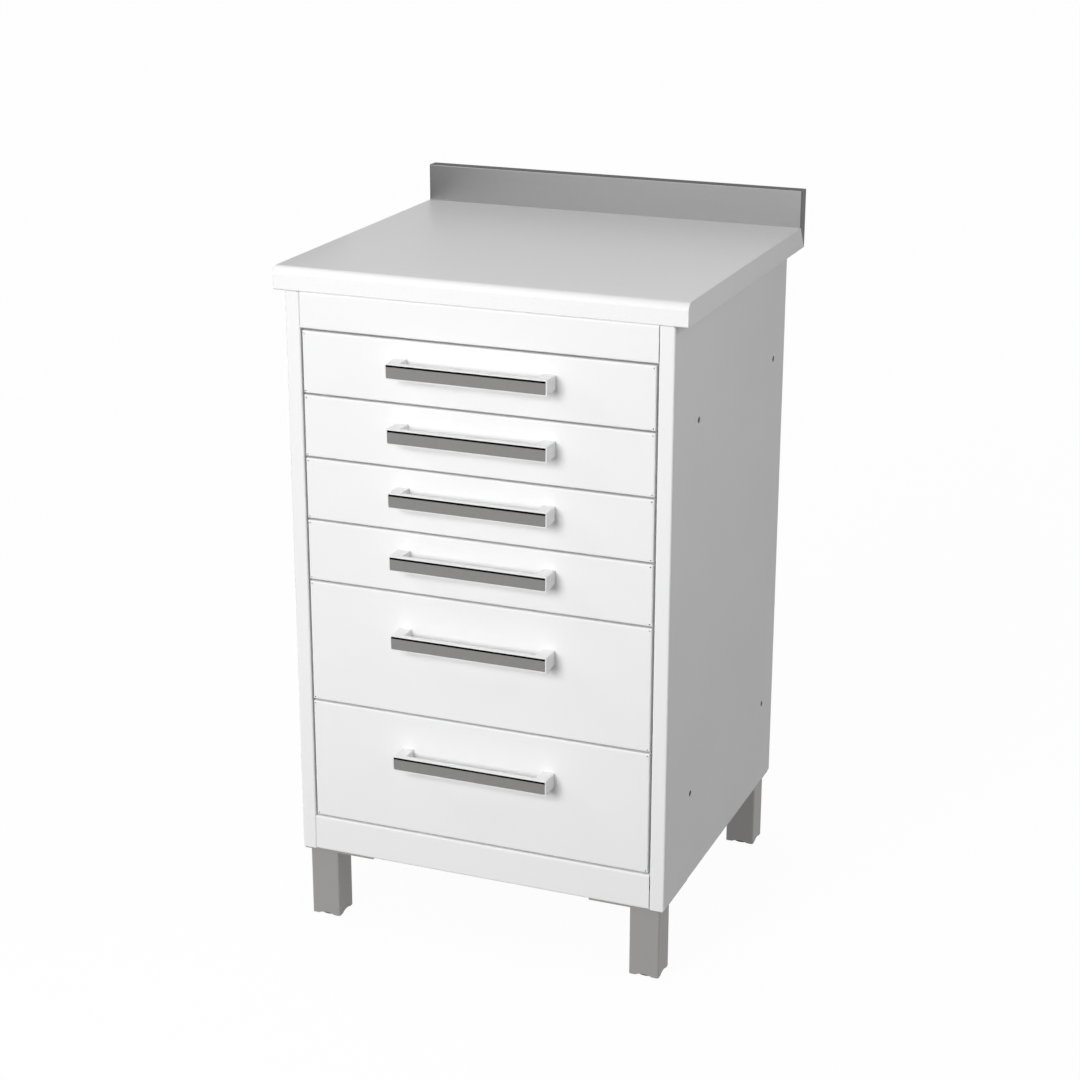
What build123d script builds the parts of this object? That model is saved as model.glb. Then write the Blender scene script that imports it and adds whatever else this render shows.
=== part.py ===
"""Floor cabinet for a clinic or a dental laboratory, with a worktop, a splashback and six drawers.

The carcass, the drawer fronts and the trays are folded steel sheet.  X runs across the cabinet, Y runs
from the front to the back and Z runs up.  The origin is on the floor, under the middle of the cabinet's
bounding box.
"""

from build123d import *
import os

# ---- Carcass -----------------------------------------------------------------------------------
body_width = 500.0
body_depth = 461.0
carcass_sheet = 1.0
carcass_bend = 2.5
stile_width = 19.25
front_return = 30.0
rear_return = 45.0
seam = 0.4
underside_height = 100.5

# ---- Drawer layout, each height measured to the middle of a gap ---------------------------------
top_rail_height = 46.5
bottom_rail_height = 48.5
small_pitch = 81.0
large_pitch = 163.25
small_count = 4
large_count = 2
drawer_gap = 2.5

# ---- Worktop and splashback ---------------------------------------------------------------------
worktop_overhang = 15.5
worktop_thickness = 29.0
worktop_rear_reach = 4.5
worktop_rear_slope = 19.0
nose_radius = 10.0
nose_lower_radius = 2.0
splash_rise = 48.5
splash_wall = 1.6
splash_edge_radius = 1.2
splash_cap_thickness = 1.5

# ---- Legs and levelling feet --------------------------------------------------------------------
leg_size = 39.5
leg_wall = 2.0
leg_corner = 2.5
leg_side_inset = 7.5
leg_front_inset = 6.5
leg_rear_inset = 6.0
plate_size = 98.0
plate_thickness = 2.5
plate_side_inset = 2.0
plate_end_inset = 2.0
notch_width = 22.0
notch_rise = 2.6
foot_show = 2.5
foot_radius = 15.5
foot_thickness = 6.0
foot_collar_radius = 9.0
foot_collar_sides = 6
foot_collar_height = 5.0
stem_radius = 5.0
stem_sides = 12
stem_play = 0.1
stem_spare = 11.5
nut_thickness = 8.0
nut_height = 26.0
foot_travel = 12.0

# ---- Folded drawer fronts and trays -------------------------------------------------------------
front_sheet = 1.0
front_depth = 18.0
front_bend = 2.0
relief_radius = 0.9
relief_inset = 3.0
relief_sides = 8
tray_sheet = 1.0
tray_bend = 1.0
tray_length = 435.0
tray_lift = 8.0
small_tray_height = 58.0
large_tray_height = 132.0
tray_rim = 6.0

# ---- Telescopic rails: distances inwards from the face that carries the cabinet member ----------
drawer_travel = 380.0
rail_overlap = 40.0
rail_start = 21.0
rail_space = 12.7
rail_height = 35.0
rail_steel = 1.2
outer_reach = 9.2
middle_height = 26.0
middle_steel = 1.0
middle_web = 3.0
middle_reach = 11.0
inner_height = 20.0
inner_reach = 7.7
ball_play = 0.3
outer_race = (4.4, 7.6)
inner_race = (6.6, 9.8)
race_margin = 30.0
small_rail_rise = 22.0
large_rail_rise = 40.0

# ---- Bow handle with its insert -----------------------------------------------------------------
handle_spacing = 192.0
post_width = 16.0
handle_height = 19.4
handle_projection = 29.2
handle_bar = 6.5
handle_corner = 1.6
handle_rim = 1.4
pocket_depth = 3.0
pocket_slot = 1.9
insert_play = 0.15
insert_corner = 1.4
insert_setback = 0.4
small_handle_drop = 32.2
large_handle_drop = 55.3

# ---- Fasteners: small and often repeated, so their shanks, heads and holes are hexagonal ---------
handle_screw_radius = 2.0
handle_screw_head = 3.8
handle_screw_head_height = 2.4
handle_screw_grip = 12.0
worktop_screw_radius = 2.1
worktop_screw_head = 4.2
worktop_screw_head_height = 2.6
worktop_screw_bite = 18.0
screw_sides = 6
hole_play = 0.3
bore_play = 0.05

# ---- Holes that join one cabinet to the next ----------------------------------------------------
join_radius = 4.0
join_front = 97.0
join_depth_spacing = 313.0
join_bottom = 120.5
join_height_spacing = 489.5

# ---- Top frame and base ------------------------------------------------------------------------
frame_border = 55.0
frame_corner = 20.0
frame_rear_drop = 30.0
base_wall = 25.0
back_fold = 15.0
rail_return = 16.0

# ---- Places worked out from the sizes above ------------------------------------------------------
worktop_depth = body_depth + worktop_rear_reach
splash_thickness = worktop_rear_slope
overall_depth = handle_projection + worktop_depth + worktop_rear_slope
front_y = handle_projection - overall_depth / 2
back_y = front_y + body_depth
half_body = body_width / 2
half_opening = half_body - stile_width
half_infill = half_opening - seam
body_height = top_rail_height + small_count * small_pitch + large_count * large_pitch + bottom_rail_height
body_bottom = underside_height
body_top = body_bottom + body_height
worktop_top = body_top + worktop_thickness
leg_bottom = foot_show
stem_top = leg_bottom + nut_height + nut_thickness + foot_travel + stem_spare
infill_back = back_y - back_fold - seam
rail_length = drawer_travel + rail_overlap
half_tray = half_opening - rail_space
half_front = half_opening - drawer_gap
handle_length = handle_spacing + post_width
join_y = front_y + join_front + join_depth_spacing / 2
join_z = body_bottom + join_bottom + join_height_spacing / 2


def drawer_bays():
    """Top and bottom of each drawer's bay, from the top drawer down."""
    bays = []
    top = body_top - top_rail_height
    for pitch in [small_pitch] * small_count + [large_pitch] * large_count:
        bays.append((top, top - pitch))
        top = top - pitch
    return bays


def block(x_span, y_span, z_span, mode=Mode.ADD):
    """A straight block between two values on each axis, in the part that is being built."""
    x_low, x_high = sorted(x_span)
    y_low, y_high = sorted(y_span)
    z_low, z_high = sorted(z_span)
    with BuildSketch(Plane.XY.offset(z_low)) as base:
        with Locations(((x_low + x_high) / 2, (y_low + y_high) / 2)):
            Rectangle(x_high - x_low, y_high - y_low)
    extrude(base.sketch, amount=z_high - z_low, mode=mode)


def rounded_block(skin, width, height, depth, radius):
    """A block behind the plane of its outer face, whose four edges are rounded and meet in mitres."""
    across = Plane(origin=skin.origin, x_dir=skin.x_dir, z_dir=-skin.y_dir)
    upright = Plane(origin=skin.origin, x_dir=skin.y_dir, z_dir=skin.x_dir)
    with BuildPart() as solid:
        with BuildSketch(across) as section:
            with Locations((0, depth / 2)):
                Rectangle(width, depth)
            if radius > 0:
                fillet(section.vertices().group_by(Axis.Y)[0], radius=radius)
        extrude(amount=height / 2, both=True)
        with BuildSketch(upright) as section:
            with Locations((0, depth / 2)):
                Rectangle(height, depth)
            if radius > 0:
                fillet(section.vertices().group_by(Axis.Y)[0], radius=radius)
        extrude(amount=width / 2, both=True, mode=Mode.INTERSECT)
    return solid.part


def folded_pan(skin, width, height, depth, sheet, bend):
    """A pan of folded sheet with mitred corners, open on the side that its skin's plane looks towards."""
    outside = rounded_block(skin, width, height, depth, bend)
    inside = rounded_block(skin.offset(sheet), width - 2 * sheet, height - 2 * sheet, depth, bend - sheet)
    with BuildPart() as shell:
        add(outside)
        add(inside, mode=Mode.SUBTRACT)
    return shell.part


def folded_strip(points, start, length, sheet, bend, side):
    """A sheet bent along a line of points in a plane across the cabinet, and as long as stated."""
    with BuildSketch(Plane.YZ.offset(start)) as section:
        with BuildLine():
            FilletPolyline(*points, radius=bend)
            offset(amount=sheet, side=side)
        make_face()
    with BuildPart() as strip:
        extrude(section.sketch, amount=length)
    return strip.part


def save(part, name):
    """Labels a finished piece and writes it under its node's name."""
    part.label = name
    export_step(part, f"parts/{name}.step")


# ---- Carcass ------------------------------------------------------------------------------------
def worktop_screw_places():
    """Centres of the four screws that pull the worktop down on the top frame."""
    x = half_infill - frame_border / 2
    middle = (front_y + infill_back) / 2
    y = (infill_back - front_y) / 2 - frame_border / 2
    return [(sx * x, middle + sy * y) for sx in (-1, 1) for sy in (-1, 1)]


def side_panel(hand):
    """A pan of folded sheet whose front and rear flanges are folded once more, to carry the rails."""
    skin_x = hand * half_body
    mouth = hand * half_opening
    overlap = 2 * carcass_bend
    skin = Plane(
        origin=(skin_x, front_y + body_depth / 2, body_bottom + body_height / 2),
        x_dir=(0, 1, 0),
        z_dir=(-hand, 0, 0),
    )
    shell = folded_pan(skin, body_depth, body_height, stile_width - overlap, carcass_sheet, carcass_bend)
    with BuildPart() as side:
        add(shell)
        for edge_y, inwards, reach in ((front_y, 1, front_return), (back_y, -1, rear_return)):
            with BuildSketch(Plane.XY.offset(body_bottom)):
                with BuildLine():
                    FilletPolyline(
                        (mouth + hand * overlap, edge_y),
                        (mouth, edge_y),
                        (mouth, edge_y + inwards * reach),
                        radius=carcass_bend,
                    )
                    offset(amount=carcass_sheet, side=Side.RIGHT if hand * inwards > 0 else Side.LEFT)
                make_face()
            extrude(amount=body_height)
        with BuildSketch(Plane.YZ.offset(skin_x)):
            with Locations((join_y, join_z)):
                with GridLocations(join_depth_spacing, join_height_spacing, 2, 2):
                    Circle(join_radius)
        extrude(amount=2 * carcass_sheet, both=True, mode=Mode.SUBTRACT)
    return side.part


def base_panel():
    """The floor of the cabinet, whose front edge is folded up into the bottom rail."""
    rail_top = body_bottom + bottom_rail_height - drawer_gap / 2
    wall_top = body_bottom + base_wall
    outline = [
        (front_y + rail_return, rail_top),
        (front_y, rail_top),
        (front_y, body_bottom),
        (infill_back, body_bottom),
        (infill_back, wall_top),
    ]
    sheet = folded_strip(outline, -half_infill, 2 * half_infill, carcass_sheet, carcass_bend, Side.LEFT)
    with BuildPart() as base:
        add(sheet)
        for side in (-1, 1):
            wall = (side * half_infill, side * (half_infill - carcass_sheet))
            wall_y = (front_y + carcass_bend, infill_back - carcass_bend)
            block(wall, wall_y, (body_bottom, wall_top))
    return base.part


def back_panel():
    """The inset back, a shallow pan with its folds towards the front."""
    skin = Plane(origin=(0, back_y, body_bottom + body_height / 2), x_dir=(1, 0, 0), z_dir=(0, -1, 0))
    return folded_pan(skin, 2 * half_infill, body_height, back_fold, carcass_sheet, carcass_bend)


def top_frame():
    """The ring that the worktop is screwed to, folded down at the front into the top rail."""
    rail_bottom = body_top - top_rail_height + drawer_gap / 2
    wall_bottom = body_top - frame_rear_drop
    outline = [
        (front_y + rail_return, rail_bottom),
        (front_y, rail_bottom),
        (front_y, body_top),
        (infill_back, body_top),
        (infill_back, wall_bottom),
    ]
    sheet = folded_strip(outline, -half_infill, 2 * half_infill, carcass_sheet, carcass_bend, Side.RIGHT)
    with BuildPart() as ring:
        add(sheet)
        for side in (-1, 1):
            wall = (side * half_infill, side * (half_infill - carcass_sheet))
            wall_y = (front_y + carcass_bend, infill_back - carcass_bend)
            block(wall, wall_y, (wall_bottom, body_top))
        with BuildSketch(Plane.XY.offset(body_top)):
            with Locations((0, (front_y + infill_back) / 2)):
                ring_length = infill_back - front_y - 2 * frame_border
                RectangleRounded(2 * (half_infill - frame_border), ring_length, frame_corner)
            with Locations(*worktop_screw_places()):
                RegularPolygon(worktop_screw_radius + hole_play, screw_sides)
        extrude(amount=2 * carcass_sheet, both=True, mode=Mode.SUBTRACT)
    return ring.part


# ---- Worktop and splashback ---------------------------------------------------------------------
def worktop():
    """A laminated board with a post-formed nose and a rear edge cut on a slope."""
    with BuildPart() as top:
        half_top = half_body + worktop_overhang
        with BuildSketch(Plane.YZ.offset(-half_top)) as section:
            with BuildLine():
                rear = front_y + worktop_depth
                Polyline(
                    (front_y, body_top),
                    (front_y, worktop_top),
                    (rear, worktop_top),
                    (rear + worktop_rear_slope, body_top),
                    close=True,
                )
            make_face()
            front_corners = section.vertices().group_by(Axis.X)[0].sort_by(Axis.Y)
            fillet(front_corners[-1], radius=nose_radius)
            fillet(section.vertices().group_by(Axis.X)[0].sort_by(Axis.Y)[0], radius=nose_lower_radius)
        extrude(amount=2 * half_top)
        with BuildSketch(Plane.XY.offset(body_top)):
            with Locations(*worktop_screw_places()):
                RegularPolygon(worktop_screw_radius + bore_play, screw_sides)
        extrude(amount=worktop_screw_bite + bore_play, mode=Mode.SUBTRACT)
    return top.part


def splash_section(start):
    """The splashback's outline: a flat face, and a wedge that fills the worktop's sloped rear edge."""
    face = front_y + worktop_depth
    with BuildSketch(Plane.YZ.offset(start)) as section:
        with BuildLine():
            Polyline(
                (face, worktop_top),
                (face, worktop_top + splash_rise),
                (face + splash_thickness, worktop_top + splash_rise),
                (face + splash_thickness, body_top),
                close=True,
            )
        make_face()
        fillet(section.vertices().group_by(Axis.Y)[-1], radius=splash_edge_radius)
    return section


def splashback():
    """An extruded hollow section across the rear of the worktop."""
    half_splash = half_body + worktop_overhang - splash_cap_thickness
    section = splash_section(-half_splash)
    with BuildPart() as splash:
        extrude(section.sketch, amount=2 * half_splash)
        ends = splash.faces().group_by(Axis.X)
        offset(amount=-splash_wall, openings=[ends[0][0], ends[-1][0]], kind=Kind.INTERSECTION)
    return splash.part


def splash_caps():
    """The two moulded caps that close the ends of the splashback."""
    half_top = half_body + worktop_overhang
    with BuildPart() as caps:
        for start in (-half_top, half_top - splash_cap_thickness):
            extrude(splash_section(start).sketch, amount=splash_cap_thickness)
    return caps.part


# ---- Legs and feet ------------------------------------------------------------------------------
def leg_corner_places():
    """Name, side sign and front or rear sign of each leg."""
    return [("front_left", -1, -1), ("front_right", 1, -1), ("rear_left", -1, 1), ("rear_right", 1, 1)]


def leg_centre(side, end):
    """Centre of a leg's tube."""
    x = side * (half_body - leg_side_inset - leg_size / 2)
    if end < 0:
        return x, front_y + leg_front_inset + leg_size / 2
    return x, back_y - leg_rear_inset - leg_size / 2


def leg(side, end):
    """A square tube under a mounting plate, with a nut plate for the stem and an arch in each face."""
    x, y = leg_centre(side, end)
    plate_x = side * (half_body - plate_side_inset - plate_size / 2)
    plate_y = front_y + plate_end_inset + plate_size / 2
    if end > 0:
        plate_y = back_y - plate_end_inset - plate_size / 2
    tube_top = body_bottom - plate_thickness
    core = leg_size - 2 * leg_wall
    notch_radius = (notch_width ** 2 / 4 + notch_rise ** 2) / (2 * notch_rise)
    with BuildPart() as tube:
        with BuildSketch(Plane.XY.offset(leg_bottom)):
            with Locations((x, y)):
                RectangleRounded(leg_size, leg_size, leg_corner)
                Rectangle(core, core, mode=Mode.SUBTRACT)
        extrude(amount=tube_top - leg_bottom)
        with BuildSketch(Plane.XY.offset(tube_top)):
            with Locations((plate_x, plate_y)):
                Rectangle(plate_size, plate_size)
        extrude(amount=plate_thickness)
        with BuildSketch(Plane.XY.offset(leg_bottom + nut_height)):
            with Locations((x, y)):
                Rectangle(core, core)
                RegularPolygon(stem_radius + stem_play, stem_sides, mode=Mode.SUBTRACT)
        extrude(amount=nut_thickness)
        notch_z = leg_bottom + notch_rise - notch_radius
        with BuildSketch(Plane.XZ.offset(-y)):
            with Locations((x, notch_z)):
                Circle(notch_radius)
        extrude(amount=leg_size, both=True, mode=Mode.SUBTRACT)
        with BuildSketch(Plane.YZ.offset(x)):
            with Locations((y, notch_z)):
                Circle(notch_radius)
        extrude(amount=leg_size, both=True, mode=Mode.SUBTRACT)
    return tube.part


def foot(side, end):
    """A levelling foot: a round pad, a hexagonal collar for the spanner and a stem of twelve flats."""
    x, y = leg_centre(side, end)
    collar_top = foot_thickness + foot_collar_height
    with BuildPart() as pad:
        with BuildSketch(Plane.XY):
            with Locations((x, y)):
                Circle(foot_radius)
        extrude(amount=foot_thickness)
        with BuildSketch(Plane.XY.offset(foot_thickness)):
            with Locations((x, y)):
                RegularPolygon(foot_collar_radius, foot_collar_sides)
        extrude(amount=foot_collar_height)
        with BuildSketch(Plane.XY.offset(collar_top)):
            with Locations((x, y)):
                RegularPolygon(stem_radius, stem_sides)
        extrude(amount=stem_top - collar_top)
    return pad.part


# ---- Drawers ------------------------------------------------------------------------------------
def front_edges(bay):
    """Bottom and top of the drawer front in a bay."""
    top, bottom = bay
    return bottom + drawer_gap / 2, top - drawer_gap / 2


def by_size(bay, small, large):
    """The value for a bay's drawer: the first for a shallow drawer, the second for a deep one."""
    top, bottom = bay
    return small if top - bottom < (small_pitch + large_pitch) / 2 else large


def handle_centre(bay):
    """Height of the middle of a drawer's handle."""
    low, high = front_edges(bay)
    return high - by_size(bay, small_handle_drop, large_handle_drop)


def handle_screw_points(bay):
    """Centres of the two handle screws, as X and Z."""
    return [(side * handle_spacing / 2, handle_centre(bay)) for side in (-1, 1)]


def screw_holes(bay, depth):
    """Drills the handle's screw holes from the front plane to the stated depth."""
    with BuildSketch(Plane.XZ.offset(-front_y)) as holes:
        with Locations(*handle_screw_points(bay)):
            RegularPolygon(handle_screw_radius + hole_play, screw_sides)
    extrude(holes.sketch, amount=-depth, mode=Mode.SUBTRACT)


def drawer_front(bay):
    """A pan of folded sheet with rounded edges and a relief hole where the bends meet at each corner."""
    low, high = front_edges(bay)
    middle = (low + high) / 2
    skin = Plane(origin=(0, front_y, middle), x_dir=(1, 0, 0), z_dir=(0, 1, 0))
    shell = folded_pan(skin, 2 * half_front, high - low, front_depth, front_sheet, front_bend)
    with BuildPart() as front:
        add(shell)
        with BuildSketch(Plane.XZ.offset(-front_y)):
            with Locations((0, middle)):
                corner_x = 2 * (half_front - relief_inset)
                with GridLocations(corner_x, high - low - 2 * relief_inset, 2, 2):
                    RegularPolygon(relief_radius, relief_sides)
        extrude(amount=-front_depth, mode=Mode.SUBTRACT)
        screw_holes(bay, front_sheet + hole_play)
    return front.part


def drawer_tray(bay):
    """An open box of folded sheet, welded behind the front, with a rim turned outwards at each side."""
    low, high = front_edges(bay)
    floor_z = low + tray_lift
    tray_height = by_size(bay, small_tray_height, large_tray_height)
    start = front_y + front_sheet
    floor = Plane(origin=(0, start + tray_length / 2, floor_z), x_dir=(1, 0, 0), z_dir=(0, 0, 1))
    shell = folded_pan(floor, 2 * half_tray, tray_length, tray_height, tray_sheet, tray_bend)
    with BuildPart() as tray:
        add(shell)
        rim_z = (floor_z + tray_height - tray_sheet, floor_z + tray_height)
        for side in (-1, 1):
            rim_y = (front_y + front_depth + seam, start + tray_length)
            block((side * half_tray, side * (half_tray + tray_rim)), rim_y, rim_z)
        screw_holes(bay, front_sheet + tray_sheet + hole_play)
    return tray.part


def drawer_handle(bay):
    """A moulded bow handle: two square posts, a flat bar and a pocket for the insert."""
    centre = handle_centre(bay)
    bar_face = front_y - handle_projection
    post_reach = handle_projection - handle_bar
    with BuildPart() as handle:
        with BuildSketch(Plane.XZ.offset(-bar_face)):
            with Locations((0, centre)):
                RectangleRounded(handle_length, handle_height, handle_corner)
        extrude(amount=-handle_bar)
        with BuildSketch(Plane.XZ.offset(-bar_face - handle_bar)) as posts:
            with Locations((-handle_spacing / 2, centre), (handle_spacing / 2, centre)):
                Rectangle(post_width, handle_height)
            columns = posts.vertices().group_by(Axis.X)
            fillet(columns[0] + columns[-1], radius=handle_corner)
        extrude(amount=-post_reach)
        with BuildSketch(Plane.XZ.offset(-bar_face)) as pocket:
            with Locations((0, centre)):
                Rectangle(handle_length - 2 * handle_rim, handle_height - 2 * handle_rim)
            fillet(pocket.vertices().group_by(Axis.Y)[0], radius=insert_corner)
        extrude(amount=-pocket_depth, mode=Mode.SUBTRACT)
        with BuildSketch(Plane.XZ.offset(-front_y)):
            with Locations(*handle_screw_points(bay)):
                RegularPolygon(handle_screw_radius + bore_play, screw_sides)
        extrude(amount=handle_screw_grip + bore_play, mode=Mode.SUBTRACT)
    return handle.part


def handle_insert(bay):
    """The strip that lies in the handle's pocket and leaves a slot above it."""
    pocket_height = handle_height - 2 * handle_rim
    strip_height = pocket_height - pocket_slot - insert_play
    strip_z = handle_centre(bay) - (pocket_slot - insert_play) / 2
    floor_y = front_y - handle_projection + pocket_depth
    with BuildPart() as strip:
        with BuildSketch(Plane.XZ.offset(-floor_y)) as outline:
            with Locations((0, strip_z)):
                Rectangle(handle_length - 2 * handle_rim - 2 * insert_play, strip_height)
            fillet(outline.vertices().group_by(Axis.Y)[0], radius=insert_corner - insert_play)
        extrude(amount=pocket_depth - insert_setback)
    return strip.part


def handle_screws(bay):
    """Two hexagon screws that pull the handle on from inside the tray."""
    seat = front_y + front_sheet + tray_sheet
    with BuildPart() as screws:
        with BuildSketch(Plane.XZ.offset(-seat)):
            with Locations(*handle_screw_points(bay)):
                RegularPolygon(handle_screw_radius, screw_sides)
        extrude(amount=seat - front_y + handle_screw_grip)
        with BuildSketch(Plane.XZ.offset(-seat)):
            with Locations(*handle_screw_points(bay)):
                RegularPolygon(handle_screw_head, screw_sides)
        extrude(amount=-handle_screw_head_height)
    return screws.part


# ---- Telescopic rails ---------------------------------------------------------------------------
def rail_centre(bay):
    """Height of a drawer's rails."""
    low, high = front_edges(bay)
    return low + tray_lift + by_size(bay, small_rail_rise, large_rail_rise)


def rail_strip(side, centre, near, far, inner, outer, start, length, mirrored=True):
    """A straight strip of a rail's section, above the centre line and, as a pair, below it."""
    x_span = (side * (half_opening - near), side * (half_opening - far))
    y_span = (front_y + start, front_y + start + length)
    block(x_span, y_span, (centre + inner, centre + outer))
    if mirrored:
        block(x_span, y_span, (centre - inner, centre - outer))


def cabinet_rails(bays):
    """The fixed member of each pair of rails, a channel that opens towards the drawer."""
    half = rail_height / 2
    with BuildPart() as rails:
        for bay in bays:
            z = rail_centre(bay)
            for side in (-1, 1):
                rail_strip(side, z, 0, rail_steel, -half, half, rail_start, rail_length, False)
                rail_strip(side, z, 0, outer_reach, half - rail_steel, half, rail_start, rail_length)
    return rails.part


def middle_rails(bay):
    """The travelling members, with the ball races that run in the channels on both sides of them."""
    z = rail_centre(bay)
    half = middle_height / 2
    race_start = rail_start + race_margin
    race_length = rail_length - 2 * race_margin
    outer_limit = rail_height / 2 - rail_steel - ball_play
    inner_limit = inner_height / 2 + ball_play
    with BuildPart() as rails:
        for side in (-1, 1):
            web = middle_web + middle_steel
            rail_strip(side, z, middle_web, web, -half, half, rail_start, rail_length, False)
            rail_strip(side, z, middle_web, middle_reach, half - middle_steel, half, rail_start, rail_length)
            rail_strip(side, z, *outer_race, half, outer_limit, race_start, race_length)
            rail_strip(side, z, *inner_race, inner_limit, half - middle_steel, race_start, race_length)
    return rails.part


def drawer_rails(bay):
    """The members on the tray, a narrow channel that opens towards the cabinet."""
    z = rail_centre(bay)
    half = inner_height / 2
    near = rail_space - inner_reach
    with BuildPart() as rails:
        for side in (-1, 1):
            web = rail_space - rail_steel
            rail_strip(side, z, web, rail_space, -half, half, rail_start, rail_length, False)
            rail_strip(side, z, near, rail_space, half - rail_steel, half, rail_start, rail_length)
    return rails.part


# ---- Worktop screws -----------------------------------------------------------------------------
def worktop_screws():
    """The four hexagon screws that pull the worktop down on the top frame."""
    seat = body_top - carcass_sheet
    with BuildPart() as screws:
        with BuildSketch(Plane.XY.offset(seat)):
            with Locations(*worktop_screw_places()):
                RegularPolygon(worktop_screw_radius, screw_sides)
        extrude(amount=carcass_sheet + worktop_screw_bite)
        with BuildSketch(Plane.XY.offset(seat)):
            with Locations(*worktop_screw_places()):
                RegularPolygon(worktop_screw_head, screw_sides)
        extrude(amount=-worktop_screw_head_height)
    return screws.part


# ---- The whole cabinet --------------------------------------------------------------------------
os.makedirs("parts", exist_ok=True)
all_bays = drawer_bays()
save(side_panel(-1), "side_left")
save(side_panel(1), "side_right")
save(back_panel(), "back_panel")
save(base_panel(), "base_panel")
save(top_frame(), "top_frame")
save(worktop(), "worktop")
save(splashback(), "splashback")
save(splash_caps(), "splash_caps")
save(cabinet_rails(all_bays), "cabinet_rails")
save(worktop_screws(), "worktop_screws")
for corner, side_sign, end_sign in leg_corner_places():
    save(leg(side_sign, end_sign), f"leg_{corner}")
    save(foot(side_sign, end_sign), f"foot_{corner}")
for number, drawer_bay in enumerate(all_bays, start=1):
    save(drawer_front(drawer_bay), f"drawer_{number}_front")
    save(drawer_tray(drawer_bay), f"drawer_{number}_tray")
    save(drawer_handle(drawer_bay), f"drawer_{number}_handle")
    save(handle_insert(drawer_bay), f"drawer_{number}_insert")
    save(handle_screws(drawer_bay), f"drawer_{number}_screws")
    save(drawer_rails(drawer_bay), f"drawer_{number}_rails")
    save(middle_rails(drawer_bay), f"middle_rails_{number}")
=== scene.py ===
# %% [markdown]
# # A clinic cabinet in Blender
#
# The cabinet arrives as a finished model: folded steel pans, a worktop, handles, rails and legs, each in
# its real place.  This lesson dresses it.  It gives every finish a procedural material, adds the small
# pieces that are quicker to work out as surfaces than to machine, and lights the whole as a product
# photograph.

# %% Load the cabinet
import math

import bpy
import numpy as np
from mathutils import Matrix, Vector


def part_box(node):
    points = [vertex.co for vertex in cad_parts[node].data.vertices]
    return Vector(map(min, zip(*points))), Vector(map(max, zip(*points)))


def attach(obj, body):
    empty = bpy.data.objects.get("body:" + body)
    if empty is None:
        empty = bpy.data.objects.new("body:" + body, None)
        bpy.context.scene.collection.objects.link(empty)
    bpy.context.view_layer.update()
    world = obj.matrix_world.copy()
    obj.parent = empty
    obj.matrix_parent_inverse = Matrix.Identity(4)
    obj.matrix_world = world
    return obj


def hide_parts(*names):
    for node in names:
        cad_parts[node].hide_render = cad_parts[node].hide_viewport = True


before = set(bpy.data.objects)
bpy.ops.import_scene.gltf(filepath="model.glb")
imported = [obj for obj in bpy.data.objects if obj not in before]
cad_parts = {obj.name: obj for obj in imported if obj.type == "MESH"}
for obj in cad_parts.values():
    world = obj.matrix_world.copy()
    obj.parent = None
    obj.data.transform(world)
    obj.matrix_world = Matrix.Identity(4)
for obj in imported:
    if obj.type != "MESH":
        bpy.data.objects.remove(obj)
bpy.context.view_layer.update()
mm = 0.001

# %% [markdown]
# ## Places from the frame
#
# A new piece has to sit exactly where the old one was.  Its place could be copied by hand, but a copy goes
# wrong as soon as the model changes.  The box of a node says where it lies, so each new piece takes its
# place from the box of the piece that it stands for or sits in.

# %% Named places
splash_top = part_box("splashback")[1].z
drawer_numbers = range(1, 1 + sum(name.endswith("_tray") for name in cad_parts))
corner_names = ["front_left", "front_right", "rear_left", "rear_right"]
print("top of the splashback", round(splash_top, 4), "m, drawers", len(drawer_numbers))

# %% [markdown]
# ## Nodes
#
# A material is a small graph.  It could be drawn by hand in the editor, and in code each node would take
# several lines.  Three helpers keep it readable: one adds a node and sets or links its inputs, one does a
# sum, and one mixes two colours.


# %% Helpers for nodes
def add_node(tree, kind, values=None, **settings):
    """Adds a node of a kind, sets its settings, then its input values or the links into them."""
    node = tree.nodes.new(kind)
    for key, value in settings.items():
        setattr(node, key, value)
    for key, value in (values or {}).items():
        if isinstance(value, bpy.types.NodeSocket):
            tree.links.new(value, node.inputs[key])
        else:
            node.inputs[key].default_value = value
    return node


def calculate(tree, operation, *values):
    """One Math node on its numbered inputs; gives its result."""
    return add_node(tree, "ShaderNodeMath", dict(enumerate(values)), operation=operation).outputs[0]


def mix_colour(tree, factor, first, second):
    """Mixes two colours; the sockets go by number, because each data type of the node has its own A and B."""
    node = add_node(tree, "ShaderNodeMix", {0: factor, 6: first, 7: second}, data_type="RGBA")
    return node.outputs[2]


print("node helpers ready")

# %% [markdown]
# ## Groups
#
# An effect that several finishes share, such as the skin of a paint, could be copied into each material.  A
# group is built once and placed in each with its own values, so a better skin is mended in one place.  Every
# group here puts out the same three things: a colour, a roughness and a height.

# %% Helpers for groups
FLOAT, COLOUR, VECTOR = "NodeSocketFloat", "NodeSocketColor", "NodeSocketVector"


def new_group(name, inputs):
    """An empty group that puts out colour, roughness and height; an input is name: (kind, default)."""
    tree = bpy.data.node_groups.new(name, "ShaderNodeTree")
    for key, (kind, default) in inputs.items():
        socket = tree.interface.new_socket(name=key, in_out="INPUT", socket_type=kind)
        socket.default_value = default
    for key, kind in {"Colour": COLOUR, "Roughness": FLOAT, "Height": FLOAT}.items():
        tree.interface.new_socket(name=key, in_out="OUTPUT", socket_type=kind)
    return tree, tree.nodes.new("NodeGroupInput").outputs


def put_out(tree, colour, roughness, height):
    """Links the three results to the group's outputs."""
    result = tree.nodes.new("NodeGroupOutput").inputs
    tree.links.new(colour, result["Colour"])
    tree.links.new(roughness, result["Roughness"])
    tree.links.new(height, result["Height"])
    return tree


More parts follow.
